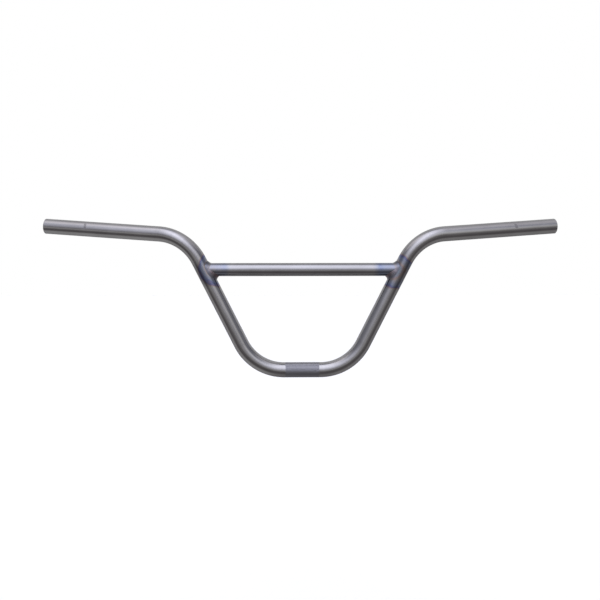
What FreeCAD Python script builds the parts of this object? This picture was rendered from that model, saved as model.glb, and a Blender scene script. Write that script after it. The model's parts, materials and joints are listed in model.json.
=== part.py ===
"""A BMX handlebar in raw steel.

One long tube is bent in four places, which makes the clamp, two legs and two grips.
A thinner crossbar is coped at both ends to sit against the legs, and a weld bead runs round each joint.

Sizes are in millimetres and degrees. The origin is the middle of the clamp.
+Z is up, +Y points back to the rider, and left and right are as seen from the front, with +X on the right.
"""

import FreeCAD
import Part
import math
import os
from FreeCAD import Vector

# The whole bar
OVERALL_WIDTH = 762.0
RISE = 209.5
CLAMP_LENGTH = 53.0
BEND_RADIUS = 70.0

# How the legs and the grips lie
LEG_LEAN = 26.5
GRIP_UPSWEEP = 3.5
GRIP_BACKSWEEP = 11.0

# The main tube
TUBE_DIAMETER = 22.2
TUBE_WALL = 1.47
RIM_CHAMFER = 0.45

# The crossbar
CROSSBAR_DIAMETER = 19.05
CROSSBAR_WALL = 0.9
CROSSBAR_HEIGHT = 147.4

# The joint of the crossbar and a leg
VENT_DIAMETER = 4.0
WELD_LEG_ABOVE = 5.0
WELD_LEG_BELOW = 6.2
WELD_HOLLOW_ABOVE = 0.8
WELD_HOLLOW_BELOW = 1.3
WELD_BITE = 0.4

TUBE_RADIUS = TUBE_DIAMETER / 2
BORE_RADIUS = TUBE_RADIUS - TUBE_WALL
CROSSBAR_RADIUS = CROSSBAR_DIAMETER / 2

# The line down the middle of the main tube, as the corners that its bends round off
lean = math.radians(LEG_LEAN)
upsweep = math.radians(GRIP_UPSWEEP)
backsweep = math.radians(GRIP_BACKSWEEP)
leg = Vector(math.sin(lean), 0, math.cos(lean))
grip = Vector(
    math.cos(upsweep) * math.cos(backsweep),
    math.cos(upsweep) * math.sin(backsweep),
    math.sin(upsweep),
)
lower_turn = math.pi / 2 - lean
lower_corner = Vector(CLAMP_LENGTH / 2 + BEND_RADIUS * math.tan(lower_turn / 2), 0, 0)

# A grip's end leans, so its rim reaches a little wider than the middle of the end
rim_lean = math.sqrt(1 - grip.x**2)
rim_reach = max((TUBE_RADIUS - RIM_CHAMFER) * rim_lean, TUBE_RADIUS * rim_lean - RIM_CHAMFER * grip.x)
sideways = OVERALL_WIDTH / 2 - rim_reach - lower_corner.x

# The leg and the grip together climb by RISE and reach out to the end of the bar
spread = leg.x * grip.z - grip.x * leg.z
leg_run = (sideways * grip.z - grip.x * RISE) / spread
grip_run = (leg.x * RISE - sideways * leg.z) / spread
upper_corner = lower_corner + leg * leg_run
grip_end = upper_corner + grip * grip_run


def mirrored(point):
    """The same point on the other side of the bar."""
    return Vector(-point.x, point.y, point.z)


CORNERS = [
    mirrored(grip_end),
    mirrored(upper_corner),
    mirrored(lower_corner),
    lower_corner,
    upper_corner,
    grip_end,
]


def heading(index):
    """The way the tube runs from one corner to the next."""
    return (CORNERS[index + 1] - CORNERS[index]).normalize()


def disc(middle, facing, radius):
    """A flat round face."""
    return Part.Face(Part.Wire(Part.makeCircle(radius, middle, facing)))


def bent_bar(radius):
    """A solid round bar along the whole line, straight between the corners and bent at each of them."""
    pieces = []
    here = CORNERS[0]
    for index in range(1, len(CORNERS) - 1):
        corner = CORNERS[index]
        before = heading(index - 1)
        after = heading(index)
        turn = before.getAngle(after)
        reach = BEND_RADIUS * math.tan(turn / 2)
        bend_start = corner - before * reach
        towards_middle = (after - before * before.dot(after)).normalize()
        bend_middle = bend_start + towards_middle * BEND_RADIUS
        bend_axis = before.cross(after).normalize()
        pieces.append(disc(here, before, radius).extrude(bend_start - here))
        pieces.append(disc(bend_start, before, radius).revolve(bend_middle, bend_axis, math.degrees(turn)))
        here = corner + after * reach
    pieces.append(disc(here, after, radius).extrude(CORNERS[-1] - here))
    return pieces[0].fuse(pieces[1:])


# The main tube: a bent bar, hollow from end to end, with the edges of its cut ends broken
outside = bent_bar(TUBE_RADIUS)
main_tube = outside.cut(bent_bar(BORE_RADIUS))
rims = []
for edge in main_tube.Edges:
    if not isinstance(edge.Curve, Part.Circle):
        continue
    for end in (CORNERS[0], CORNERS[-1]):
        if edge.Curve.Center.distanceToPoint(end) < 0.01:
            rims.append(edge)
main_tube = main_tube.makeChamfer(RIM_CHAMFER, rims)

# A vent through each leg, hidden in the joint, lets hot gas out of the crossbar while it is welded
joint = lower_corner + leg * (CROSSBAR_HEIGHT / leg.z)
for side in (-1, 1):
    start = Vector(side * joint.x, 0, joint.z)
    vent = Part.makeCylinder(VENT_DIAMETER / 2, TUBE_DIAMETER, start, Vector(-side, 0, 0))
    main_tube = main_tube.cut(vent)


def crossbar_rod(radius):
    """A straight rod from the middle of one leg to the middle of the other."""
    return Part.makeCylinder(radius, 2 * joint.x, mirrored(joint), Vector(1, 0, 0))


# The crossbar: a thin tube with a saddle cut in each end by the leg it sits against
crossbar = crossbar_rod(CROSSBAR_RADIUS).cut(crossbar_rod(CROSSBAR_RADIUS - CROSSBAR_WALL))
crossbar = crossbar.cut(outside)

# The way the right-hand leg faces the crossbar
leg_face = Vector(-math.cos(lean), 0, math.sin(lean))


def saddle(turn):
    """Where the skins of crossbar and leg meet, from the joint's middle, at an angle round the crossbar."""
    back = CROSSBAR_RADIUS * math.sin(turn)
    up = CROSSBAR_RADIUS * math.cos(turn)
    out_of_leg = math.sqrt(TUBE_RADIUS**2 - back**2)
    return Vector((up * math.sin(lean) - out_of_leg) / math.cos(lean), back, up)


def leg_skin(turn):
    """The saddle drawn flat on the leg's skin: x round the leg and y along it."""
    point = saddle(turn)
    return Vector(TUBE_RADIUS * math.asin(point.y / TUBE_RADIUS), point.dot(leg), 0)


def crossbar_skin(turn):
    """The saddle drawn flat on the crossbar's skin: x round the crossbar and y along it."""
    return Vector(CROSSBAR_RADIUS * turn, saddle(turn).x, 0)


def beside(skin, turn, distance):
    """A point of a flat saddle moved squarely off the line."""
    along = (skin(turn + 0.001) - skin(turn - 0.001)).normalize()
    return skin(turn) + Vector(along.y, -along.x, 0) * distance


def weld_leg(turn):
    """The bead's reach on each tube, which grows from the wide corner above to the sharp one below."""
    return WELD_LEG_ABOVE + (WELD_LEG_BELOW - WELD_LEG_ABOVE) * math.sin(turn / 2) ** 4


def weld_hollow(turn):
    """How far the bead's face sinks in both corners; it is flat at the front and the back of the leg."""
    deepest = WELD_HOLLOW_ABOVE if math.cos(turn) > 0 else WELD_HOLLOW_BELOW
    return deepest * math.cos(turn) ** 2


def leg_toe(turn):
    """A point of the bead's edge on the leg, where it bites a little way into the skin."""
    flat = beside(leg_skin, turn, -weld_leg(turn))
    angle = flat.x / TUBE_RADIUS
    out = leg_face * math.cos(angle) + Vector(0, math.sin(angle), 0)
    return joint + out * (TUBE_RADIUS - WELD_BITE) + leg * flat.y


def crossbar_toe(turn):
    """A point of the bead's edge on the crossbar, where it bites a little way into the skin."""
    flat = beside(crossbar_skin, turn, weld_leg(turn))
    angle = flat.x / CROSSBAR_RADIUS
    out = Vector(0, math.sin(angle), math.cos(angle))
    return joint + out * (CROSSBAR_RADIUS - WELD_BITE) + Vector(flat.y, 0, 0)


def ring(points):
    """A smooth closed line through points."""
    curve = Part.BSplineCurve()
    curve.interpolate(Points=points, PeriodicFlag=True)
    return curve.toShape()


# The weld bead: bands along the saddle, from toe to toe, closed by a root inside the tubes that trim it
BEAD_STEPS = 24
BEAD_BANDS = 3
lines = [[] for _ in range(BEAD_BANDS + 2)]
for step in range(BEAD_STEPS):
    turn = 2 * math.pi * step / BEAD_STEPS
    corner = joint + saddle(turn)
    on_leg = leg_toe(turn)
    on_crossbar = crossbar_toe(turn)
    out = ((on_leg + on_crossbar) / 2 - corner).normalize()
    bulge = WELD_BITE - weld_hollow(turn)
    for band in range(BEAD_BANDS + 1):
        share = band / BEAD_BANDS
        flat = on_leg * (1 - share) + on_crossbar * share
        lines[band].append(flat + out * bulge * 4 * share * (1 - share))
    lines[-1].append(corner - out * TUBE_WALL)
rings = [ring(points) for points in lines]
bands = [Part.makeRuledSurface(rings[index - 1], rings[index]) for index in range(len(rings))]
bead_skin = Part.makeShell(bands)
bead_skin.sewShape()
right_bead = Part.Solid(bead_skin).cut(outside).cut(crossbar_rod(CROSSBAR_RADIUS)).Solids[0]
left_bead = right_bead.mirror(Vector(0, 0, 0), Vector(1, 0, 0))

os.makedirs("parts", exist_ok=True)
main_tube.Solids[0].exportStep("parts/main_tube.step")
crossbar.Solids[0].exportStep("parts/crossbar.step")
Part.makeCompound([left_bead, right_bead]).exportStep("parts/weld_beads.step")
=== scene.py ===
# %% [markdown]
# # A BMX handlebar in raw steel
#
# The bar is three kinds of thing: one long tube with four bends, a thinner crossbar between its legs,
# and a ring of weld metal round each end of the crossbar.
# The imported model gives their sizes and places, and this lesson gives them their looks: a knurled clamp,
# welds with ripples, blue and straw heat colours, and bare steel under a clear lacquer.
#
# The model is loaded first, because every piece is built in its frame, in metres, with +Z up.

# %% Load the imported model
import json
import math
import bmesh
import bpy
import numpy as np
from mathutils import Matrix, Vector


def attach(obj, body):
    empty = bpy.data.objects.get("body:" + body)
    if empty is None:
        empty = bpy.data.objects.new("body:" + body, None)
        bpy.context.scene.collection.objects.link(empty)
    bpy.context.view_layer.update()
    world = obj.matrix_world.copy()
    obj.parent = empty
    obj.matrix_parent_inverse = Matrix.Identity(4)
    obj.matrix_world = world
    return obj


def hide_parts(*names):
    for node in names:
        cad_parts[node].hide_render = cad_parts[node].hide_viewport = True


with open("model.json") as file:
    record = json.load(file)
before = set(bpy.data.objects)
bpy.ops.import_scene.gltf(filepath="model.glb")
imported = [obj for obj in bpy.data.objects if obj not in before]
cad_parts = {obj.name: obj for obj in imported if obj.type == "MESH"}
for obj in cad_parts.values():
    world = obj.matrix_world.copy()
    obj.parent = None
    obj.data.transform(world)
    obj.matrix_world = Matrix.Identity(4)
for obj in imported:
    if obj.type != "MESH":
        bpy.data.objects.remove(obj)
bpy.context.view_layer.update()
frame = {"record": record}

# %% [markdown]
# ## Sizes
#
# A size that the model already states is read from it, so that the looks follow the model when it changes.
# The places where a stem, a grip or a bar-end plug fits give the radius of the tube, its bore,
# and where the straight runs lie.

# %% Read the sizes that the model states
places = {place["name"]: place for place in frame["record"]["mounts"]}


def stated(name, size):
    """A size of one of the model's fitting places, in metres."""
    return places[name]["dims"][size] / 1000


TUBE_RADIUS = stated("stem_clamp", "r_mm")
BORE_RADIUS = stated("right_bar_end", "r_mm")
CLAMP_HALF = stated("stem_clamp", "length_mm") / 2
GRIP_HALF = stated("right_grip", "length_mm") / 2
grip_middle = Vector(places["right_grip"]["pos_m"])
grip_way = Vector(places["right_grip"]["axis"]).normalized()
clamp_way = Vector((1, 0, 0))
tube_across = [round(2000 * radius, 2) for radius in (TUBE_RADIUS, BORE_RADIUS)]
print("tube across, outside and inside, in millimetres:", tube_across)

# %% [markdown]
# ## The line down the middle of the tube
#
# A bender makes the bar from one straight tube, with the same round former for all four bends.
# A curve object could do this, but then the mesh would not know which point of the straight tube went where.
# So the line is walked here instead: straight runs and arcs, one after the other, from the middle outwards.
# The left half is the mirror image of the right.

# %% Find the corners of the line
BEND_RADIUS = 0.070
LEG_LEAN = math.radians(26.5)
RIM_CHAMFER = 0.00045
leg_way = Vector((math.sin(LEG_LEAN), 0, math.cos(LEG_LEAN)))


def bend_reach(before, after):
    """How far from its corner a bend starts."""
    return BEND_RADIUS * math.tan(before.angle(after) / 2)


lower_corner = Vector((CLAMP_HALF + bend_reach(clamp_way, leg_way), 0, 0))
upper_corner = grip_middle - grip_way * (grip_middle.y / grip_way.y)
tube_end = grip_middle + grip_way * (GRIP_HALF + RIM_CHAMFER)
print("half the width of the line, in millimetres:", round(1000 * tube_end.x, 1))

# %% Walk the line as straight runs and bends
front = Vector((0, -1, 0))
here = Vector((0, 0, 0))
gone = 0.0
runs = []
for corner, way, next_way in (
    (lower_corner, clamp_way, leg_way),
    (upper_corner, leg_way, grip_way),
    (tube_end, grip_way, None),
):
    reach = bend_reach(way, next_way) if next_way else 0.0
    length = (corner - here).length - reach
    runs.append({"from": gone, "to": gone + length, "start": here, "way": way, "front": front, "axis": None})
    gone += length
    here = here + way * length
    if next_way:
        axis = way.cross(next_way).normalized()
        turn = way.angle(next_way)
        middle = here + axis.cross(way) * BEND_RADIUS
        length = turn * BEND_RADIUS
        run = {"from": gone, "to": gone + length, "start": here, "way": way, "front": front, "axis": axis}
        run["middle"] = middle
        runs.append(run)
        bend = Matrix.Rotation(turn, 3, axis)
        gone += length
        here = middle + bend @ (here - middle)
        front = bend @ front
HALF_LENGTH = gone
print("straight length of the tube, in millimetres:", round(2000 * HALF_LENGTH, 1))

# %% [markdown]
# ### A place on the tube
#
# A place on the skin is given as a tape measure would give it: so far along the tube, and so far round it.
# It could be given in x, y and z, but then every mark on the tube would need its own sum in each bend.
# Each bend turns the tube's front with it, so a mark along the tube stays in line and isn't twisted.

# %% Find a place on the tube
def place_on_line(along):
    """The point, the way forward and the tube's front at a distance from the middle of the bar."""
    run = next((run for run in runs if along <= run["to"]), runs[-1])
    gone_here = along - run["from"]
    if run["axis"] is None:
        return run["start"] + run["way"] * gone_here, run["way"], run["front"]
    bend = Matrix.Rotation(gone_here / BEND_RADIUS, 3, run["axis"])
    return run["middle"] + bend @ (run["start"] - run["middle"]), bend @ run["way"], bend @ run["front"]


def skin_point(along, turn, radius):
    """A point of the tube at a distance along it and an angle round it, from its front up over the top."""
    point, way, facing = place_on_line(abs(along))
    spot = point + (facing * math.cos(turn) + facing.cross(way) * math.sin(turn)) * radius
    return Vector((math.copysign(1, along) * spot.x, spot.y, spot.z))


end_front = skin_point(HALF_LENGTH, 0, TUBE_RADIUS)
print("front of the right end, in millimetres:", [round(1000 * value, 1) for value in end_front])

# %% [markdown]
# ## Where the crossbar meets a leg
#
# The end of the crossbar is cut to a saddle, which is the line where two round tubes meet.
# Everything at the joint hangs on that line: the end of the crossbar, the weld, and the colours of its heat.
# A boolean cut would shape the end of the crossbar, but it would not tell the weld where to go.
# So the line is worked out once, from the radius of each tube and the lean of the leg.

# %% Work out the saddle
CROSSBAR_RADIUS = 0.009525
CROSSBAR_WALL = 0.0009
CROSSBAR_HEIGHT = 0.1474
joint = lower_corner + leg_way * (CROSSBAR_HEIGHT / leg_way.z)


def saddle(turn, radius=CROSSBAR_RADIUS):
    """Where the crossbar meets the right leg, from the joint's middle, at an angle round from the top."""
    back = radius * math.sin(turn)
    up = radius * math.cos(turn)
    out_of_leg = math.sqrt(TUBE_RADIUS**2 - back**2)
    return Vector(((up * leg_way.x - out_of_leg) / leg_way.z, back, up))


def on_leg_skin(turn):
    """The saddle on the leg's skin unrolled flat: round the leg, then along it."""
    point = saddle(turn)
    return Vector((TUBE_RADIUS * math.asin(point.y / TUBE_RADIUS), point.dot(leg_way)))


def on_crossbar_skin(turn):
    """The saddle on the crossbar's skin unrolled flat: round the crossbar, then along it."""
    return Vector((CROSSBAR_RADIUS * turn, saddle(turn).x))


print("joint, in millimetres from the middle of the clamp:", [round(1000 * value, 1) for value in joint])

# %% [markdown]
# ## Making a mesh from rings
#
# Tubes, rims and welds are all rows of rings, so one helper joins rings into a closed skin.
# Each point also keeps a few notes that the finish needs later, such as where it lay on the straight tube
# before any bend, and how much heat it took. Blender calls such notes attributes, and a material can read
# them. The other way, to unwrap the tube and paint it, would need a picture.

# %% A helper that joins rings into a skin and prints its size
def ring_mesh(name, rings, notes, flat_rows=(), split=None):
    """An object whose skin runs from ring to ring and closes on itself, with notes kept at each point."""
    rows = len(rings)
    around = len(rings[0])
    points = [point for ring in rings for point in ring]
    faces = []
    flat = []
    for row in range(rows):
        for step in range(around):
            a = row * around + step
            b = (row + 1) % rows * around + step
            c = (row + 1) % rows * around + (step + 1) % around
            d = row * around + (step + 1) % around
            new = split(row, step, (a, b, c, d)) if split else None
            new = new or [(a, b, c, d)]
            faces += new
            flat += [row in flat_rows] * len(new)
    mesh = bpy.data.meshes.new(name)
    mesh.from_pydata(points, [], faces)
    mesh.polygons.foreach_set("use_smooth", [not value for value in flat])
    for note, values in notes.items():
        values = np.asarray(values, dtype=float)
        kind = "FLOAT_VECTOR" if values.ndim == 2 else "FLOAT"
        layer = mesh.attributes.new(note, kind, "POINT")
        layer.data.foreach_set("vector" if values.ndim == 2 else "value", values.ravel())
    mesh.validate()
    piece = bpy.data.objects.new(name, mesh)
    bpy.context.scene.collection.objects.link(piece)
    print(name, "has", sum(len(face) - 2 for face in faces), "triangles")
    return piece


# %% [markdown]
# ## The main tube and its knurl
#
# The clamp is knurled: two wheels with slanted teeth press crossing grooves into the steel, so that the stem
# can't slip. A bump map would look flat at the outline, so the knurl is real. Its grid has two steps to each
# diamond, and every second point is lifted, as on a chess board. Each square is then cut along its groove,
# from low point to low point, and that leaves small pyramids with sharp edges.
# The rows are close together in the knurl and near the welds, where colours change fast, and wider apart
# elsewhere. One more row lies close to each sharp edge, so that the smooth shading of the tube ends there.

# %% Lay out the rows outside
KNURL_HALF = 0.0252
KNURL_ROWS = 42
GRIP_STEP = 0.0040
BEND_STEP = 0.0020
WELD_STEP = 0.0012
EDGE_STEP = 0.0003
NEAR_WELD = 0.034
bends = [run for run in runs if run["axis"] is not None]
joint_along = bends[0]["to"] + (joint - lower_corner).length - bend_reach(clamp_way, leg_way)
rim_along = HALF_LENGTH - RIM_CHAMFER


def even_steps(start, stop, largest):
    """Even steps from start up to stop, each no larger than a size."""
    count = max(1, math.ceil((stop - start) / largest - 1e-6))
    return [start + (stop - start) * step / count for step in range(count)]


rows_right = even_steps(0, KNURL_HALF, KNURL_HALF / KNURL_ROWS)
rows_right.append(KNURL_HALF)
rows_right += even_steps(KNURL_HALF + EDGE_STEP, bends[0]["to"], BEND_STEP)
rows_right += even_steps(bends[0]["to"], joint_along - NEAR_WELD, GRIP_STEP)
rows_right += even_steps(joint_along - NEAR_WELD, joint_along + NEAR_WELD, WELD_STEP)
rows_right += even_steps(joint_along + NEAR_WELD, bends[1]["to"], BEND_STEP)
rows_right += even_steps(bends[1]["to"], rim_along - EDGE_STEP, GRIP_STEP)
rows_right += [rim_along - EDGE_STEP, rim_along]
outer_rows = [-along for along in reversed(rows_right[1:])] + rows_right
middle_row = len(rows_right) - 1
print("rows outside:", len(outer_rows))

# %% Add the rims and the bore
BORE_STEP = 0.0080
bore_right = even_steps(0, rim_along - EDGE_STEP, BORE_STEP)
bore_right += [rim_along - EDGE_STEP, rim_along]
bore_rows = [-along for along in reversed(bore_right[1:])] + bore_right
rim_out = TUBE_RADIUS - RIM_CHAMFER
rim_in = BORE_RADIUS + RIM_CHAMFER
tube_rows = [(along, TUBE_RADIUS) for along in outer_rows]
tube_rows += [(HALF_LENGTH, rim_out), (HALF_LENGTH, rim_in)]
tube_rows += [(along, BORE_RADIUS) for along in reversed(bore_rows)]
tube_rows += [(-HALF_LENGTH, rim_in), (-HALF_LENGTH, rim_out)]
print("rows in the bore:", len(bore_rows), "and in all:", len(tube_rows))

# %% Press the knurl
AROUND = 120
KNURL_FADE_ROWS = 2


def knurl_lift(row, step):
    """How far the knurl presses in or raises a point of the clamp, from -1 in a groove to 1 on a point."""
    from_middle = abs(row - middle_row)
    if row >= len(outer_rows) or from_middle >= KNURL_ROWS:
        return 0.0
    fade = min(1.0, (KNURL_ROWS - from_middle) / KNURL_FADE_ROWS)
    return fade if (row - middle_row + step) % 2 else -fade


def along_the_groove(row, step, corners):
    """Cuts a square of the knurl in two, from low point to low point."""
    if row >= len(outer_rows) or not -KNURL_ROWS <= row - middle_row < KNURL_ROWS:
        return None
    a, b, c, d = corners
    if (row - middle_row + step) % 2:
        return [(a, b, d), (b, c, d)]
    return [(a, b, c), (a, c, d)]


raised = sum(knurl_lift(row, step) > 0 for row in range(len(outer_rows)) for step in range(AROUND))
print("points of the knurl:", raised)

# %% [markdown]
# ## How far the heat of a weld went
#
# Steel beside a weld gets hot enough to grow a thin skin of oxide, and its colours follow the weld like the
# lines on a map. A noise could give such colours, but they would not know where the weld is.
# So each point of a leg keeps a heat, which falls with its distance from the saddle.
# The distance is taken on the leg's skin unrolled flat, where it is plain arithmetic.

# %% Measure the warmth of a leg
HEAT_REACH_LEG = 0.0165
SEAM_STEPS = 120
flat_seam = [on_leg_skin(2 * math.pi * step / SEAM_STEPS) for step in range(SEAM_STEPS)]


def leg_warmth(round_counts, around, along):
    """1 at the weld, 0 at the end of the heat's reach and less past it."""
    gaps = np.full(len(along), np.inf)
    for seam_around, seam_along in flat_seam:
        gaps = np.minimum(gaps, np.hypot(round_counts * (around - seam_around), along - seam_along))
    return 1 - gaps / HEAT_REACH_LEG


print("the heat reaches, in millimetres along a leg:", round(1000 * HEAT_REACH_LEG, 1))

# %% [markdown]
# ### Two welds that differ
#
# No two welds are alike. On the left the colours make a crescent that stays near the weld, so a step round
# the leg counts for more than a step along it. On the right they make a band round the leg, so it counts for
# less. Heat that soaked on round the leg left deep blue outside the crescent, and a thin dark scale on the
# outer side of both legs. One even heat would be simpler, but both joints would then look the same.

# %% Work out the heat and the scale of a leg
ROUND_COUNTS_LEFT = 1.4
ROUND_COUNTS_RIGHT = 0.35
ROUND_COUNTS_SOAKED = 0.95
SOAKED_DROP = 0.0025
SOAKED_HEAT = 0.22
ROUND_COUNTS_SCALE = 0.6
SCALE_STARTS = 0.0165
SCALE_STARTS_OVER = 0.0075
SCALE_EDGE = 1 / 3


def leg_heat(side, around, along):
    """The heat that gives the colours of a leg."""
    near = leg_warmth(np.where(side < 0, ROUND_COUNTS_LEFT, ROUND_COUNTS_RIGHT), around, along)
    soaked = np.minimum(leg_warmth(ROUND_COUNTS_SOAKED, around, along + SOAKED_DROP), SOAKED_HEAT)
    return np.where(side < 0, np.maximum(near, soaked), near)


def leg_scale(around, along):
    """The dark scale on a leg, from 0 to 1, where the heat soaked on round it."""
    outer = np.clip((np.abs(around) - SCALE_STARTS) / SCALE_STARTS_OVER, 0, 1)
    return outer * np.clip(leg_warmth(ROUND_COUNTS_SCALE, around, along) / SCALE_EDGE, 0, 1)


both_fronts = leg_heat(np.array([-1, 1]), np.full(2, -TUBE_RADIUS * math.pi / 2), np.zeros(2))
print("heat on the front of the left and the right leg:", both_fronts.round(2))

# %% [markdown]
# ## Put the main tube together
#
# Every row becomes a ring of points, and every point gets its notes: its place on the straight tube and
# beside the weld, whether a bend marked it, and how deep in a groove it lies.
# A tool such as Bevel could break the rims and a modifier could press the knurl, but points that are placed
# one by one can keep their notes. The knurl and the rims are shaded flat, because their edges are sharp.

# %% Shape the rings of the main tube
KNURL_LIFT = 0.00004
KNURL_DEPTH = 0.00008
BEND_MARGIN = 0.004
tube_rings = []
straight_notes = []
flat_notes = []
bend_notes = []
knurl_notes = []
for row, (along, radius) in enumerate(tube_rows):
    bent = any(run["from"] - BEND_MARGIN < abs(along) < run["to"] + BEND_MARGIN for run in bends)
    ring = []
    for step in range(AROUND):
        turn = 2 * math.pi * step / AROUND
        lift = knurl_lift(row, step)
        spread = radius + lift * (KNURL_LIFT if lift > 0 else KNURL_DEPTH)
        ring.append(skin_point(along, turn, spread))
        straight_notes.append((along, radius * math.cos(turn), radius * math.sin(turn)))
        from_weld = (turn + math.pi / 2) % (2 * math.pi) - math.pi
        flat_notes.append((along, from_weld * TUBE_RADIUS, abs(along) - joint_along))
        bend_notes.append(1.0 if bent else 0.0)
        knurl_notes.append(max(0.0, -lift))
    tube_rings.append(ring)
print("points of the main tube:", len(straight_notes))

# %% Build the main tube
knurl_rows = range(middle_row - KNURL_ROWS, middle_row + KNURL_ROWS)
right_rim = len(outer_rows)
left_rim = len(tube_rows) - 2
rim_rows = [right_rim - 1, right_rim, right_rim + 1, left_rim - 1, left_rim, left_rim + 1]
side, around, along = np.array(flat_notes).T
main_tube = ring_mesh(
    "main_tube_dressed",
    tube_rings,
    {
        "straight": straight_notes,
        "weld_heat": leg_heat(side, around, along),
        "scale": leg_scale(around, along),
        "tinted": np.ones(len(flat_notes)),
        "bent": bend_notes,
        "groove": knurl_notes,
    },
    flat_rows=set(knurl_rows) | set(rim_rows),
    split=along_the_groove,
)

# %% [markdown]
# ## The crossbar
#
# The crossbar is straight, so its rows only have to fit a saddle at each end. A cylinder with a boolean cut
# would do that too, but it would leave long thin faces beside the cut.
# Each row is a share of the way from the middle to the saddle, which bends the last rows into the right form.
# The inside is built too, because the bar is a tube and a closed skin keeps its true thickness.
# Its notes start well past the main tube's, so that its clouds and lines are its own.

# %% Shape the crossbar
CROSSBAR_AROUND = 96
HOT_FROM = 0.70
COLD_STEP = 0.05
HOT_STEP = 0.01
NOTES_START = 2.0
half_shares = even_steps(0, HOT_FROM, COLD_STEP) + even_steps(HOT_FROM, 1.0, HOT_STEP) + [1.0]
shares = [-share for share in reversed(half_shares[1:])] + half_shares
bore_shares = [1.0, 0.9, 0.5, 0.0, -0.5, -0.9, -1.0]
crossbar_rows = [(share, CROSSBAR_RADIUS) for share in shares]
crossbar_rows += [(share, CROSSBAR_RADIUS - CROSSBAR_WALL) for share in bore_shares]
crossbar_rings = []
crossbar_notes = []
for share, radius in crossbar_rows:
    ring = []
    for step in range(CROSSBAR_AROUND):
        turn = 2 * math.pi * step / CROSSBAR_AROUND
        end = joint + saddle(turn, radius)
        spot = Vector((share * end.x, end.y, end.z))
        ring.append(spot)
        crossbar_notes.append((spot.x + NOTES_START, -spot.y, spot.z - CROSSBAR_HEIGHT))
    crossbar_rings.append(ring)
print("rows of the crossbar, outside and inside:", len(shares), len(bore_shares))

# %% [markdown]
# ### The heat of the crossbar
#
# Thin steel heats evenly, so the colour at each end is one pale blue, which starts at a clear line.
# The distance from the saddle would give bent bands here, as on a leg, so the distance along the crossbar is
# used instead. The left end got hotter, so its blue is paler, and the whole crossbar has a little of the dark
# scale.

# %% Heat the ends and build the crossbar
HEAT_REACH_CROSSBAR = 0.0335
CROSSBAR_HEAT = 0.32
CROSSBAR_HEAT_RISE = 0.18
LEFT_END_HOTTER = 0.13
CROSSBAR_SCALE = 0.27
TINT_STARTS_OVER = 0.24
seam_front = joint.x + saddle(-math.pi / 2).x
crossbar_x = np.array([point.x for ring in crossbar_rings for point in ring])
heat_share = 1 - (seam_front - np.abs(crossbar_x)) / HEAT_REACH_CROSSBAR
end_heat = CROSSBAR_HEAT + np.where(crossbar_x < 0, LEFT_END_HOTTER, 0)
crossbar = ring_mesh(
    "crossbar_dressed",
    crossbar_rings,
    {
        "straight": crossbar_notes,
        "weld_heat": end_heat + CROSSBAR_HEAT_RISE * heat_share,
        "tinted": np.clip(heat_share / TINT_STARTS_OVER, 0, 1),
        "scale": np.full(len(heat_share), CROSSBAR_SCALE),
        "bent": np.zeros(len(heat_share)),
        "groove": np.zeros(len(heat_share)),
    },
    flat_rows={len(shares) - 1, len(crossbar_rings) - 1},
)

# %% [markdown]
# ## The weld beads
#
# The welder melts a drop, moves on a little, and melts the next, so a bead looks like a row of fallen coins.
# The corner above the crossbar is wide and the one below it is sharp, so the bead reaches further below.
# Its face sinks in both corners and is flat at the front and the back of the leg.
# A bevel along the joint would give one even width, so the bead is built in its own right: its two edges are
# found by stepping off the saddle on each tube's skin unrolled flat, the face is drawn between them as a low
# arch or hollow, and the ripples are lifted out of it.

# %% Find the edges of the bead
WELD_LEG_ABOVE = 0.0050
WELD_LEG_BELOW = 0.0062
WELD_BITE = 0.0004
SMALL_TURN = 0.001
leg_face = Vector((-leg_way.z, 0, leg_way.x))


def weld_leg(turn):
    """The bead's reach on each tube, which grows from the wide corner above to the sharp one below."""
    return WELD_LEG_ABOVE + (WELD_LEG_BELOW - WELD_LEG_ABOVE) * math.sin(turn / 2) ** 4


def step_off(skin, turn, distance):
    """A point of the flat saddle, moved squarely off the line."""
    along = (skin(turn + SMALL_TURN) - skin(turn - SMALL_TURN)).normalized()
    return skin(turn) + Vector((along.y, -along.x)) * distance


def edge_on_leg(turn, width):
    """The bead's edge on the leg."""
    flat = step_off(on_leg_skin, turn, -width)
    angle = flat.x / TUBE_RADIUS
    out = leg_face * math.cos(angle) + Vector((0, math.sin(angle), 0))
    return joint + out * (TUBE_RADIUS - WELD_BITE) + leg_way * flat.y


def edge_on_crossbar(turn, width):
    """The bead's edge on the crossbar."""
    flat = step_off(on_crossbar_skin, turn, width)
    angle = flat.x / CROSSBAR_RADIUS
    out = Vector((0, math.sin(angle), math.cos(angle)))
    return joint + out * (CROSSBAR_RADIUS - WELD_BITE) + Vector((flat.y, 0, 0))


bead_reach = [round(1000 * weld_leg(turn), 1) for turn in (0, math.pi)]
print("bead's reach on each tube, above and below, in millimetres:", bead_reach)

# %% Work out the hollows and the ripples
WELD_HOLLOW_ABOVE = 0.0008
WELD_HOLLOW_BELOW = 0.0013
BEAD_RIPPLES = 38
RIPPLE_RISES_OVER = 0.8
RIPPLE_BOW = 1.2
RIPPLE_WANDERS = 0.30
RIPPLE_TREMBLES = 0.16
RIPPLE_UNEVEN = 0.2


def weld_hollow(turn):
    """How far the bead's face sinks in both corners; it is flat at the front and the back of the leg."""
    deepest = WELD_HOLLOW_ABOVE if math.cos(turn) > 0 else WELD_HOLLOW_BELOW
    return deepest * math.cos(turn) ** 2


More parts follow.
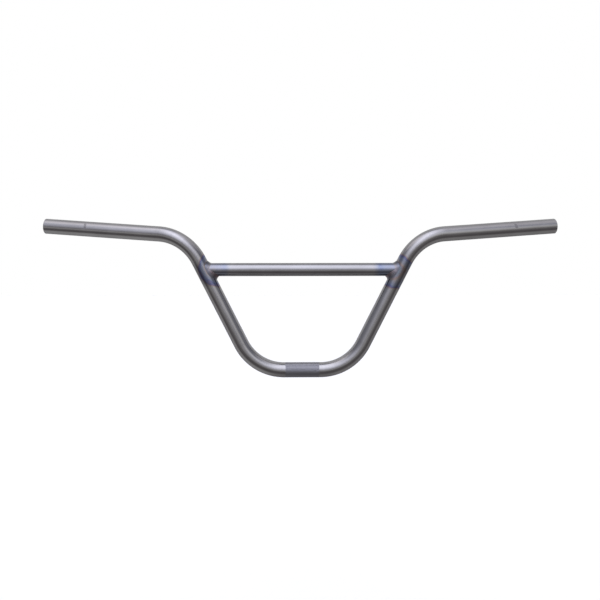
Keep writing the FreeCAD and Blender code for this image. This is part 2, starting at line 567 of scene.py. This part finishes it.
def ripple(turn, share):
    """The height of the ripples, from 0 to 1: each one is a curved scale that laps over the next."""
    wander = RIPPLE_WANDERS * math.sin(3 * turn + 1.3) + RIPPLE_TREMBLES * math.sin(7 * turn + 0.4)
    bow = RIPPLE_BOW * (2 * share - 1) ** 2
    phase = (BEAD_RIPPLES * turn / (2 * math.pi) + wander + bow) % 1.0
    rising = phase < RIPPLE_RISES_OVER
    scale = phase / RIPPLE_RISES_OVER if rising else (1 - phase) / (1 - RIPPLE_RISES_OVER)
    return scale * (1 - RIPPLE_UNEVEN + RIPPLE_UNEVEN * math.sin(5 * turn + share))


hollows = [round(1000 * weld_hollow(turn), 1) for turn in (0, math.pi / 2, math.pi)]
print("bead's hollow above, in front and below, in millimetres:", hollows)

# %% Build both beads
STEPS_A_RIPPLE = 10
BEAD_BANDS = 16
RIPPLE_HEIGHT = 0.00005
EDGE_SCALLOP = 0.00007
EDGE_WAVER = 0.00012
ROOT_DEPTH = 0.0008


def bead(name, side):
    """A closed ring of weld metal, on the left with side -1 or on the right with side 1."""
    rings = []
    turns = []
    for step in range(BEAD_RIPPLES * STEPS_A_RIPPLE):
        turn = 2 * math.pi * step / (BEAD_RIPPLES * STEPS_A_RIPPLE)
        corner = joint + saddle(turn)
        width = weld_leg(turn)
        uneven = EDGE_SCALLOP * math.sin(BEAD_RIPPLES * turn) + EDGE_WAVER * math.sin(11 * turn + 0.8)
        leg_edge = edge_on_leg(turn, width + uneven)
        crossbar_edge = edge_on_crossbar(turn, width - uneven)
        out = ((leg_edge + crossbar_edge) / 2 - corner).normalized()
        bulge = WELD_BITE - weld_hollow(turn)
        ring = []
        for band in range(BEAD_BANDS + 1):
            share = band / BEAD_BANDS
            arch = 4 * share * (1 - share)
            lift = arch * bulge + math.sqrt(arch) * RIPPLE_HEIGHT * (ripple(turn, share) - 0.5)
            ring.append(leg_edge * (1 - share) + crossbar_edge * share + out * lift)
        ring.append(corner - out * ROOT_DEPTH)
        rings.append([Vector((side * spot.x, spot.y, spot.z)) for spot in ring])
        turns += [turn] * len(ring)
    bands = [min(band, BEAD_BANDS) / BEAD_BANDS for band in range(BEAD_BANDS + 2)] * len(rings)
    points = np.array([spot for ring in rings for spot in ring])
    lifts = [ripple(turn, share) for turn, share in zip(turns, bands)]
    low = [math.sin(turn / 2) ** 2 for turn in turns]
    return ring_mesh(name, rings, {"straight": points, "band": bands, "crest": lifts, "low": low})


left_bead = bead("left_weld_bead", -1)
right_bead = bead("right_weld_bead", 1)

# %% [markdown]
# ## Tie the pieces to the model
#
# A mesh that is put together point by point may face inwards, so its faces are turned outwards first.
# Each piece then takes the place of its part of the model and stays with it.
# The volume is printed as a test, because a skin with a hole or a fold in it would give a wrong one.

# %% Turn every skin the right way out and tie it to the model
for piece, node, slot in (
    (main_tube, "main_tube", "raw_steel"),
    (crossbar, "crossbar", "raw_steel"),
    (left_bead, "weld_beads", "weld_metal"),
    (right_bead, "weld_beads", "weld_metal"),
):
    skin = bmesh.new()
    skin.from_mesh(piece.data)
    bmesh.ops.recalc_face_normals(skin, faces=skin.faces)
    print(piece.name, "encloses", round(1e6 * skin.calc_volume(), 2), "cubic centimetres")
    skin.to_mesh(piece.data)
    skin.free()
    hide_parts(node)
    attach(piece, "root")

# %% [markdown]
# ## The finish: bare steel under clear lacquer
#
# The bar has no paint, so what shows is the steel itself, what the bender and the welder did to it, and a
# clear lacquer over all of it. All of this is made with shader nodes and without pictures, so that it stays
# sharp at any distance. Nodes take many lines to set up, so a few helpers come first. Then the material reads
# the notes that the mesh keeps.

# %% Start the steel and read its notes
def new_material(name):
    """A material with an empty node tree, and its shader."""
    material = bpy.data.materials.new(name)
    material.use_nodes = True
    tree = material.node_tree
    tree.nodes.clear()
    shader = tree.nodes.new("ShaderNodeBsdfPrincipled")
    output = tree.nodes.new("ShaderNodeOutputMaterial")
    tree.links.new(shader.outputs["BSDF"], output.inputs["Surface"])
    return material, tree, shader


def add(tree, kind, feeds=None, **settings):
    """A node with its settings. Each named or numbered input is fed by a value or by another node."""
    new = tree.nodes.new(kind)
    for setting, value in settings.items():
        setattr(new, setting, value)
    for socket, value in (feeds or {}).items():
        if isinstance(value, bpy.types.NodeSocket):
            tree.links.new(value, new.inputs[socket])
        else:
            new.inputs[socket].default_value = value
    return new


def note(tree, name):
    """A note that the mesh keeps at its points."""
    return add(tree, "ShaderNodeAttribute", attribute_name=name)


steel, tree, shader = new_material("raw_steel_lacquered")
straight = note(tree, "straight").outputs["Vector"]
heat = note(tree, "weld_heat").outputs["Fac"]
bent = note(tree, "bent").outputs["Fac"]
groove = note(tree, "groove").outputs["Fac"]
print("the steel starts with", len(tree.nodes), "nodes")

# %% [markdown]
# ### The raw steel
#
# Tube is drawn through a die, which leaves a soft dark grey with faint lines along it. It is cloudy from the
# mill, has fine dark specks, and carries marks across each bend where the former gripped it.
# Each of these is a noise, stretched along or across the straight tube, that makes the grey a little darker
# or lighter. The lines follow the bends, because the notes remember the straight tube.

# %% Make the clouds, the lines and the specks
MILL_CLOUDS = (38, 70, 70)
DRAW_LINES = (9, 520, 520)
BEND_MARKS = (850, 60, 60)
SPECKS = (520, 520, 520)


def noise(tree, where, stretch, detail):
    """Cloudy noise, with its number of clouds to the metre along, across and up."""
    scaled = add(tree, "ShaderNodeVectorMath", {0: where, 1: stretch}, operation="MULTIPLY")
    cloud = add(tree, "ShaderNodeTexNoise", {"Vector": scaled.outputs[0], "Scale": 1.0, "Detail": detail})
    return cloud.outputs["Fac"]


clouds = noise(tree, straight, MILL_CLOUDS, detail=4.0)
draw_lines = noise(tree, straight, DRAW_LINES, detail=2.0)
cross_lines = noise(tree, straight, BEND_MARKS, detail=1.0)
specks = noise(tree, straight, SPECKS, detail=1.0)
print("marks to the metre along a bend:", BEND_MARKS[0])

# %% Mix the grey of the steel
STEEL_DARK = (0.268, 0.263, 0.265)
STEEL_LIGHT = (0.300, 0.295, 0.298)
CLOUD_SHARE = [(0.34, 0.0), (0.66, 1.0)]
LINE_TONE = [(0.30, 0.93), (0.70, 1.04)]
MARK_TONE = [(0.32, 0.95), (0.68, 1.03)]
SPECK_TONE = [(0.24, 0.84), (0.32, 1.0)]


def ramp(tree, value, stops):
    """Colours or greys along a value."""
    new = add(tree, "ShaderNodeValToRGB", {"Fac": value})
    while len(new.color_ramp.elements) < len(stops):
        new.color_ramp.elements.new(0.5)
    for element, (position, colour) in zip(new.color_ramp.elements, stops):
        element.position = position
        element.color = (*colour, 1) if isinstance(colour, tuple) else (colour, colour, colour, 1)
    return new.outputs["Color"]


def blend(tree, share, one, two, kind="MIX"):
    """Two colours mixed, or one multiplied by the other."""
    new = add(tree, "ShaderNodeMix", data_type="RGBA", blend_type=kind)
    for socket, value in ((0, share), (6, one), (7, two)):
        if isinstance(value, bpy.types.NodeSocket):
            tree.links.new(value, new.inputs[socket])
        else:
            new.inputs[socket].default_value = value if socket == 0 else (*value, 1)
    return new.outputs[2]


base = blend(tree, ramp(tree, clouds, CLOUD_SHARE), STEEL_DARK, STEEL_LIGHT)
base = blend(tree, 1.0, base, ramp(tree, draw_lines, LINE_TONE), "MULTIPLY")
base = blend(tree, bent, base, ramp(tree, cross_lines, MARK_TONE), "MULTIPLY")
base = blend(tree, 1.0, base, ramp(tree, specks, SPECK_TONE), "MULTIPLY")
print("the grey takes", len(tree.nodes), "nodes")

# %% [markdown]
# ### Heat colours
#
# A thin skin of oxide looks straw, a thicker one rose, purple and blue, and a still thicker one goes through
# pale steel to straw and rose again. One colour ramp over the heat gives them all in the right order.
# It multiplies the grey below it, as a clear tint does, and a noise makes its edges wander a little.
# The scale is one dark tone, which multiplies all of it.

# %% Tint the steel beside the welds
OXIDE = [
    (0.00, (1.00, 1.00, 1.00)),
    (0.05, (1.00, 0.94, 0.84)),
    (0.11, (0.90, 0.74, 0.72)),
    (0.17, (0.58, 0.48, 0.68)),
    (0.25, (0.36, 0.42, 0.80)),
    (0.37, (0.62, 0.72, 0.93)),
    (0.50, (0.71, 0.77, 0.94)),
    (0.60, (0.80, 0.82, 0.92)),
    (0.70, (0.88, 0.84, 0.84)),
    (0.77, (0.92, 0.72, 0.62)),
    (0.83, (0.80, 0.68, 0.72)),
    (0.90, (0.60, 0.68, 0.78)),
    (0.96, (0.48, 0.62, 0.76)),
    (1.00, (0.62, 0.60, 0.68)),
]
SCALE_TONE = (0.60, 0.62, 0.66)
HEAT_PATCHES = (120, 150, 150)
HEAT_WANDERS = 0.34


def math_node(tree, operation, *values):
    """One step of arithmetic."""
    return add(tree, "ShaderNodeMath", dict(enumerate(values)), operation=operation).outputs[0]


patches = noise(tree, straight, HEAT_PATCHES, detail=2.0)
drift = math_node(tree, "MULTIPLY", math_node(tree, "SUBTRACT", patches, 0.5), HEAT_WANDERS)
uneven_heat = math_node(tree, "ADD", heat, drift)
base = blend(tree, note(tree, "tinted").outputs["Fac"], base, ramp(tree, uneven_heat, OXIDE), "MULTIPLY")
base = blend(tree, note(tree, "scale").outputs["Fac"], base, SCALE_TONE, "MULTIPLY")
print("colours of the heat:", len(OXIDE))

# %% [markdown]
# ### Trim marks and the knurl
#
# A short dark line near each end shows how far the bar may be cut down. A strip of mesh could stand for it,
# but it would stand proud of the steel. The line is flat, so it is drawn by the material, as the points near
# one ring of the tube that also face the front.
# The grooves of the knurl are painted a darker, bluer grey, which makes the clamp darker and duller than the
# tube.

# %% Mark the ends
TRIM_MARK_FROM_END = 0.0655
TRIM_MARK_HALF = 0.0019
TRIM_MARK_SLANT = 0.165
TRIM_MARK_REACH = math.cos(math.radians(19))
TRIM_MARK_TURN = math.radians(20)
TRIM_MARK_COLOUR = (0.180, 0.176, 0.178)
along_tube, to_front, to_top = add(tree, "ShaderNodeSeparateXYZ", {0: straight}).outputs
slant = math_node(tree, "MULTIPLY", to_top, TRIM_MARK_SLANT)
slanted = math_node(tree, "ABSOLUTE", math_node(tree, "ADD", along_tube, slant))
from_mark = math_node(tree, "SUBTRACT", slanted, HALF_LENGTH - TRIM_MARK_FROM_END)
in_width = math_node(tree, "LESS_THAN", math_node(tree, "ABSOLUTE", from_mark), TRIM_MARK_HALF)
front_share = math_node(tree, "MULTIPLY", to_front, math.cos(TRIM_MARK_TURN) / TUBE_RADIUS)
top_share = math_node(tree, "MULTIPLY", to_top, math.sin(TRIM_MARK_TURN) / TUBE_RADIUS)
facing_mark = math_node(tree, "ADD", front_share, top_share)
in_height = math_node(tree, "GREATER_THAN", facing_mark, TRIM_MARK_REACH)
marked = math_node(tree, "MULTIPLY", in_width, in_height)
base = blend(tree, marked, base, TRIM_MARK_COLOUR)
print("trim marks, in millimetres from each end:", round(1000 * TRIM_MARK_FROM_END, 1))

# %% Darken the grooves of the knurl
# The grooves of the knurl are painted a darker, bluer grey.
GROOVE_DARK_COLOUR = (0.142, 0.147, 0.188)
GROOVE_DARK_SHARE = 0.85
base = blend(tree, math_node(tree, "MULTIPLY", groove, GROOVE_DARK_SHARE), base, GROOVE_DARK_COLOUR)
tree.links.new(base, shader.inputs["Base Color"])
print("the colour of the steel takes", len(tree.nodes), "nodes")

# %% [markdown]
# ### The gloss
#
# The steel is smooth but not polished, so it mirrors the room softly, and the lacquer over it adds a thin,
# sharper gloss. Seen at a steep angle a polished metal turns white, which would make the tube look thin
# against white paper. This skin stays dark there, and the shader's edge tint sets that.
# The drawn lines and the marks of the bends are also fine ridges. They are far too fine for the mesh, so a
# bump gives them.

# %% The gloss of the steel
STEEL_ROUGHNESS = 0.20
ROUGHNESS_SPREAD = 0.08
MARK_ROUGHER = 0.2
LACQUER_WEIGHT = 0.55
LACQUER_ROUGHNESS = 0.10
EDGE_TINT = (0.38, 0.38, 0.40, 1)
shader.inputs["Metallic"].default_value = 1.0
shader.inputs["Specular Tint"].default_value = EDGE_TINT
shader.inputs["Coat Weight"].default_value = LACQUER_WEIGHT
shader.inputs["Coat Roughness"].default_value = LACQUER_ROUGHNESS
smoothest = STEEL_ROUGHNESS - ROUGHNESS_SPREAD / 2
rough = math_node(tree, "ADD", math_node(tree, "MULTIPLY", draw_lines, ROUGHNESS_SPREAD), smoothest)
rough = math_node(tree, "ADD", rough, math_node(tree, "MULTIPLY", marked, MARK_ROUGHER))
tree.links.new(rough, shader.inputs["Roughness"])
print("roughness of the steel and of the lacquer:", STEEL_ROUGHNESS, LACQUER_ROUGHNESS)

# %% The fine ridges of the steel
RIDGE_DISTANCE = 0.00006
RIDGE_STRENGTH = 0.08
DRAWN_SHARE = 0.5
drawn_ridges = math_node(tree, "MULTIPLY", draw_lines, DRAWN_SHARE)
ridges = math_node(tree, "ADD", drawn_ridges, math_node(tree, "MULTIPLY", cross_lines, bent))
relief = {"Height": ridges, "Strength": RIDGE_STRENGTH, "Distance": RIDGE_DISTANCE}
tree.links.new(add(tree, "ShaderNodeBump", relief).outputs[0], shader.inputs["Normal"])
for piece in (main_tube, crossbar):
    piece.data.materials.append(steel)
print("raw steel has", len(tree.nodes), "nodes")

# %% [markdown]
# ### The weld metal
#
# The bead was melted, so its skin is darker and more broken than the tube's, with heat colours: blue-grey
# beside the leg and rose-brown in the sharp corner below. Also painted into its colour are a painted
# highlight where it runs out on the crossbar, which carries on the crossbar's highlight, painted shade that
# makes it nearly black on top, and painted shade that darkens the sharp corner below.
# One ramp from top to bottom would lose the change from leg to crossbar. So one ramp runs across the bead for
# its upper side and one for its lower side. The crests of the ripples are a little paler than the valleys.

# %% The colours of the weld metal
# BEAD_ABOVE ends in a painted highlight on the crossbar's side, and BEAD_BELOW adds painted shade to the
# rose-brown of the heat.
BEAD_ABOVE = [(0.0, (0.10, 0.12, 0.17)), (0.45, (0.20, 0.21, 0.25)), (1.0, (0.50, 0.48, 0.49))]
BEAD_BELOW = [(0.0, (0.13, 0.15, 0.19)), (0.50, (0.15, 0.13, 0.15)), (1.0, (0.14, 0.085, 0.095))]
CREST_TONE = [(0.0, 0.90), (0.6, 1.0), (1.0, 1.03)]
TOP_PAINTED_SHADE = [(0.0, 0.32), (0.10, 0.40), (0.22, 1.0)]
WELD_CLOUDS = (260, 260, 260)
WELD_WANDERS = 0.5
weld, tree, shader = new_material("weld_metal")
where = note(tree, "straight").outputs["Vector"]
band = note(tree, "band").outputs["Fac"]
crest = note(tree, "crest").outputs["Fac"]
low = note(tree, "low").outputs["Fac"]
clouds = noise(tree, where, WELD_CLOUDS, detail=3.0)
drift = math_node(tree, "MULTIPLY", math_node(tree, "SUBTRACT", clouds, 0.5), WELD_WANDERS)
across_bead = math_node(tree, "ADD", band, drift)
upper = ramp(tree, across_bead, BEAD_ABOVE)
lower = ramp(tree, across_bead, BEAD_BELOW)
tone = blend(tree, math_node(tree, "ADD", low, drift), upper, lower)
tone = blend(tree, 1.0, tone, ramp(tree, crest, CREST_TONE), "MULTIPLY")
# Painted shade: the top of the bead is darkened to nearly black.
tone = blend(tree, 1.0, tone, ramp(tree, low, TOP_PAINTED_SHADE), "MULTIPLY")
tree.links.new(tone, shader.inputs["Base Color"])
print("the colour of the weld metal takes", len(tree.nodes), "nodes")

# %% The gloss of the weld metal
WELD_SMOOTHEST = 0.24
WELD_ROUGHNESS_SPREAD = 0.2
shader.inputs["Metallic"].default_value = 1.0
shader.inputs["Coat Weight"].default_value = LACQUER_WEIGHT
shader.inputs["Coat Roughness"].default_value = LACQUER_ROUGHNESS
rough = math_node(tree, "ADD", math_node(tree, "MULTIPLY", clouds, WELD_ROUGHNESS_SPREAD), WELD_SMOOTHEST)
tree.links.new(rough, shader.inputs["Roughness"])
for piece in (left_bead, right_bead):
    piece.data.materials.append(weld)
print("weld metal has", len(tree.nodes), "nodes")

# %% [markdown]
# ## The studio
#
# Bare metal shows what stands around it, so the studio makes half of the look.
# The bar stands before white paper. To the camera the floor is pale paper with a little glow of its own, and
# it lies well below the bar, so the shadow on it is only a faint one.
# The metal sees something else: a grey floor with a pale card under each grip, which draws the dark line
# along the underside of each tube and the pale edge below that, and a card in front of the bar. Two dark
# flags cover parts of that card, because the left leg and the right grip would get too pale from it.
# A node that knows what kind of ray is asking, the light path, gives each of them its own view.

# %% Lay the floor
FLOOR_DEPTH = 0.45
FLOOR_HALF = 6.0
corners = [(-1, -1), (1, -1), (1, 1), (-1, 1)]
floor_mesh = bpy.data.meshes.new("floor")
floor_points = [(x * FLOOR_HALF, y * FLOOR_HALF, -FLOOR_DEPTH) for x, y in corners]
floor_mesh.from_pydata(floor_points, [], [(0, 1, 2, 3)])
floor = bpy.data.objects.new("floor", floor_mesh)
bpy.context.scene.collection.objects.link(floor)
print("floor lies, in millimetres below the clamp:", round(1000 * FLOOR_DEPTH))

# %% Lay the cards that the metal sees
LEFT_CARD = 0.55
MIDDLE_CARD = 0.20
RIGHT_CARD = 0.35
LEFT_CARD_EDGE = (-0.05, -0.25)
RIGHT_CARD_EDGE = (0.05, 0.25)
CARDS_FRONT_EDGE = (-0.40, -0.06)
paper = bpy.data.materials.new("floor_paper")
paper.use_nodes = True
tree = paper.node_tree
tree.nodes.clear()
spot = add(tree, "ShaderNodeNewGeometry").outputs["Position"]
sideways, behind, _ = add(tree, "ShaderNodeSeparateXYZ", {0: spot}).outputs


def fade(tree, value, start, stop, high):
    """A smooth rise from 0 at start to a value at stop."""
    limits = {"Value": value, "From Min": start, "From Max": stop, "To Min": 0.0, "To Max": high}
    return add(tree, "ShaderNodeMapRange", limits, interpolation_type="SMOOTHSTEP").outputs[0]


left_card = fade(tree, sideways, *LEFT_CARD_EDGE, LEFT_CARD - MIDDLE_CARD)
right_card = fade(tree, sideways, *RIGHT_CARD_EDGE, RIGHT_CARD - MIDDLE_CARD)
cards = math_node(tree, "ADD", math_node(tree, "ADD", left_card, right_card), MIDDLE_CARD)
cards = math_node(tree, "MULTIPLY", cards, fade(tree, behind, *CARDS_FRONT_EDGE, 1.0))
print("cards under the left grip, the clamp and the right grip:", LEFT_CARD, MIDDLE_CARD, RIGHT_CARD)

# %% Add the card in front and its flags
FRONT_CARD = 0.55
FRONT_CARD_EDGE = (-0.6, -2.5)
LEFT_FLAG = 0.22
LEFT_FLAG_INNER = (0.0, -0.5)
LEFT_FLAG_OUTER = (-1.2, -0.8)
RIGHT_FLAG = 0.36
RIGHT_FLAG_EDGE = (0.7, 1.4)
left_flag = fade(tree, sideways, *LEFT_FLAG_INNER, LEFT_FLAG)
left_flag = math_node(tree, "MULTIPLY", left_flag, fade(tree, sideways, *LEFT_FLAG_OUTER, 1.0))
flags = math_node(tree, "ADD", left_flag, fade(tree, sideways, *RIGHT_FLAG_EDGE, RIGHT_FLAG))
front_card = math_node(tree, "SUBTRACT", FRONT_CARD, flags)
front_card = math_node(tree, "MULTIPLY", front_card, fade(tree, behind, *FRONT_CARD_EDGE, 1.0))
cards = math_node(tree, "MAXIMUM", cards, front_card)
print("card in front, and its left and right flags:", FRONT_CARD, LEFT_FLAG, RIGHT_FLAG)

# %% Give the metal its floor and the camera its paper
FLOOR_GREY = (0.21, 0.195, 0.18, 1)
WHITE = (1, 1, 1, 1)
PAPER_SHARE = 0.60
PAPER_GLOW = 0.45
seen = add(tree, "ShaderNodeLightPath")
cards = math_node(tree, "MULTIPLY", seen.outputs["Is Glossy Ray"], cards)
shade = add(tree, "ShaderNodeBsdfDiffuse", {"Color": FLOOR_GREY})
white = add(tree, "ShaderNodeEmission", {"Color": WHITE, "Strength": 1.0})
for_metal = add(tree, "ShaderNodeMixShader", {0: cards, 1: shade.outputs[0], 2: white.outputs[0]})
pale = add(tree, "ShaderNodeBsdfDiffuse", {"Color": (PAPER_SHARE, PAPER_SHARE, PAPER_SHARE, 1)})
glow = add(tree, "ShaderNodeEmission", {"Color": WHITE, "Strength": PAPER_GLOW})
for_camera = add(tree, "ShaderNodeAddShader", {0: pale.outputs[0], 1: glow.outputs[0]})
by_camera = seen.outputs["Is Camera Ray"]
mixed = add(tree, "ShaderNodeMixShader", {0: by_camera, 1: for_metal.outputs[0], 2: for_camera.outputs[0]})
add(tree, "ShaderNodeOutputMaterial", {"Surface": mixed.outputs[0]})
floor_mesh.materials.append(paper)
print("floor paper has", len(tree.nodes), "nodes")

# %% [markdown]
# ### The room
#
# There are no lamps, because a lamp would leave a hard-edged patch on every tube. The room itself glows:
# brightest above and in front, where a large soft box would hang, with a dimmer strip over each grip, a warm
# panel low on the right, which the left leg shows, and a faint glow on both sides, which the inner edges of
# the legs show. Each is a smooth rise of the world's light towards one direction, and the room is a little
# bluer above. The camera sees white paper instead of all this, and behind the bar the metal sees it too.

# %% Hang the soft box
KEY_LEVEL = 2.56
KEY_RISE = math.radians(54)
KEY_SIDE = math.radians(-4)
KEY_HALF = math.radians(57)
KEY_POWER = 3.0
KEY_BACK_EDGE = (0.12, -0.12)
KEY_SET_BACK = 0.25
world = bpy.data.worlds.new("studio")
bpy.context.scene.world = world
world.use_nodes = True
tree = world.node_tree
tree.nodes.clear()
ray_way = add(tree, "ShaderNodeTexCoord").outputs["Generated"]
across, back, up = add(tree, "ShaderNodeSeparateXYZ", {0: ray_way}).outputs


def towards(direction):
    """How nearly a ray goes the way of a light, up to 1."""
    feeds = {0: ray_way, 1: direction}
    return add(tree, "ShaderNodeVectorMath", feeds, operation="DOT_PRODUCT").outputs["Value"]


key_rise = math_node(tree, "MAXIMUM", towards((0, -math.cos(KEY_RISE), math.sin(KEY_RISE))), 0.0)
key_high = math_node(tree, "POWER", key_rise, KEY_POWER)
key_high = math_node(tree, "MULTIPLY", key_high, fade(tree, back, *KEY_BACK_EDGE, 1.0))
key_side = math_node(tree, "ARCTAN2", across, math_node(tree, "SUBTRACT", KEY_SET_BACK, back))
key_off = math_node(tree, "ABSOLUTE", math_node(tree, "SUBTRACT", key_side, KEY_SIDE))
key_wide = fade(tree, key_off, KEY_HALF, 0.0, KEY_LEVEL)
key = math_node(tree, "MULTIPLY", key_high, key_wide)
print("the soft box takes", len(tree.nodes), "nodes")

# %% Add the top, the strips, the panel and the sides
TOP_LEVEL = 0.35
TOP_WAY = (0, 0.35, 0.94)
TOP_EDGE = (0.70, 1.0)
LEFT_LEVEL = 1.02
LEFT_WAY = (-0.48, -0.08, 0.87)
RIGHT_LEVEL = 0.62
RIGHT_WAY = (0.48, -0.08, 0.87)
STRIP_EDGE = (0.88, 1.0)
PANEL_LEVEL = 0.44
PANEL_WAY = (0.52, -0.82, 0.24)
PANEL_EDGE = (0.92, 1.0)
SIDE_LEVEL = 0.14
SIDE_EDGE = (0.6, 0.95)
top = fade(tree, towards(TOP_WAY), *TOP_EDGE, TOP_LEVEL)
left_strip = fade(tree, towards(LEFT_WAY), *STRIP_EDGE, LEFT_LEVEL)
right_strip = fade(tree, towards(RIGHT_WAY), *STRIP_EDGE, RIGHT_LEVEL)
strips = math_node(tree, "ADD", left_strip, right_strip)
panel = fade(tree, towards(PANEL_WAY), *PANEL_EDGE, PANEL_LEVEL)
sides = fade(tree, math_node(tree, "ABSOLUTE", across), *SIDE_EDGE, SIDE_LEVEL)
print("strips over the left and the right grip:", LEFT_LEVEL, RIGHT_LEVEL)

# %% Add up the lights
ROOM_LEVEL = 0.25
ROOM_BELOW = (1, 0.95, 0.94)
ROOM_ABOVE = (1.04, 1.07, 1.28)
ROOM_EDGE = (-0.1, 0.4)
room_tone = blend(tree, fade(tree, up, *ROOM_EDGE, 1.0), ROOM_BELOW, ROOM_ABOVE)
lit = add(tree, "ShaderNodeBackground", {"Color": room_tone, "Strength": ROOM_LEVEL})
glows = [
    ((0.965, 0.975, 1.10, 1), key),
    ((0.96, 0.97, 1.06, 1), top),
    ((1.03, 0.98, 0.99, 1), strips),
    ((1.00, 0.99, 0.90, 1), panel),
    ((0.98, 0.98, 1.06, 1), sides),
]
for colour, strength in glows:
    more = add(tree, "ShaderNodeBackground", {"Color": colour, "Strength": strength})
    lit = add(tree, "ShaderNodeAddShader", {0: lit.outputs[0], 1: more.outputs[0]})
print("lights in the room:", len(glows))

# %% Hang the white paper
PAPER_EDGE = (0.0, 0.7)
seen = add(tree, "ShaderNodeLightPath")
white = add(tree, "ShaderNodeBackground", {"Color": WHITE, "Strength": 1.0})
plain = math_node(tree, "MAXIMUM", seen.outputs["Is Camera Ray"], seen.outputs["Is Transmission Ray"])
behind_bar = fade(tree, back, *PAPER_EDGE, 1.0)
paper_behind = math_node(tree, "MULTIPLY", seen.outputs["Is Glossy Ray"], behind_bar)
plain = math_node(tree, "MAXIMUM", plain, paper_behind)
mixed = add(tree, "ShaderNodeMixShader", {0: plain, 1: lit.outputs[0], 2: white.outputs[0]})
add(tree, "ShaderNodeOutputWorld", {"Surface": mixed.outputs[0]})
print("room has", len(tree.nodes), "nodes")

# %% [markdown]
# ## The camera
#
# The camera stands in front of the bar, a little above the crossbar and slightly to the left, with a short
# tele lens. Its place was found by fitting the bends and the ends of the bar to where the picture shows them.
# A constraint could point it at the bar, but the way it looks is short to work out and stays fixed.

# %% Place the camera
CAMERA_DISTANCE = 1.31155
CAMERA_ELEVATION = math.radians(5.624)
CAMERA_AZIMUTH = math.radians(-1.189)
LENS_PER_WIDTH = 1.5
aim = Vector((-0.003312, 0, 0.102888))
look = Vector(
    (
        -math.sin(CAMERA_AZIMUTH) * math.cos(CAMERA_ELEVATION),
        math.cos(CAMERA_AZIMUTH) * math.cos(CAMERA_ELEVATION),
        -math.sin(CAMERA_ELEVATION),
    )
)
lens = bpy.data.cameras.new("camera")
lens.sensor_fit = "HORIZONTAL"
lens.sensor_width = 36.0
lens.lens = LENS_PER_WIDTH * lens.sensor_width
camera = bpy.data.objects.new("camera", lens)
camera.location = aim - look * CAMERA_DISTANCE
camera.rotation_euler = look.to_track_quat("-Z", "Y").to_euler()
bpy.context.scene.collection.objects.link(camera)
bpy.context.scene.camera = camera
bpy.context.scene.view_settings.view_transform = "Standard"
print("camera, in millimetres:", [round(1000 * value, 1) for value in camera.location])
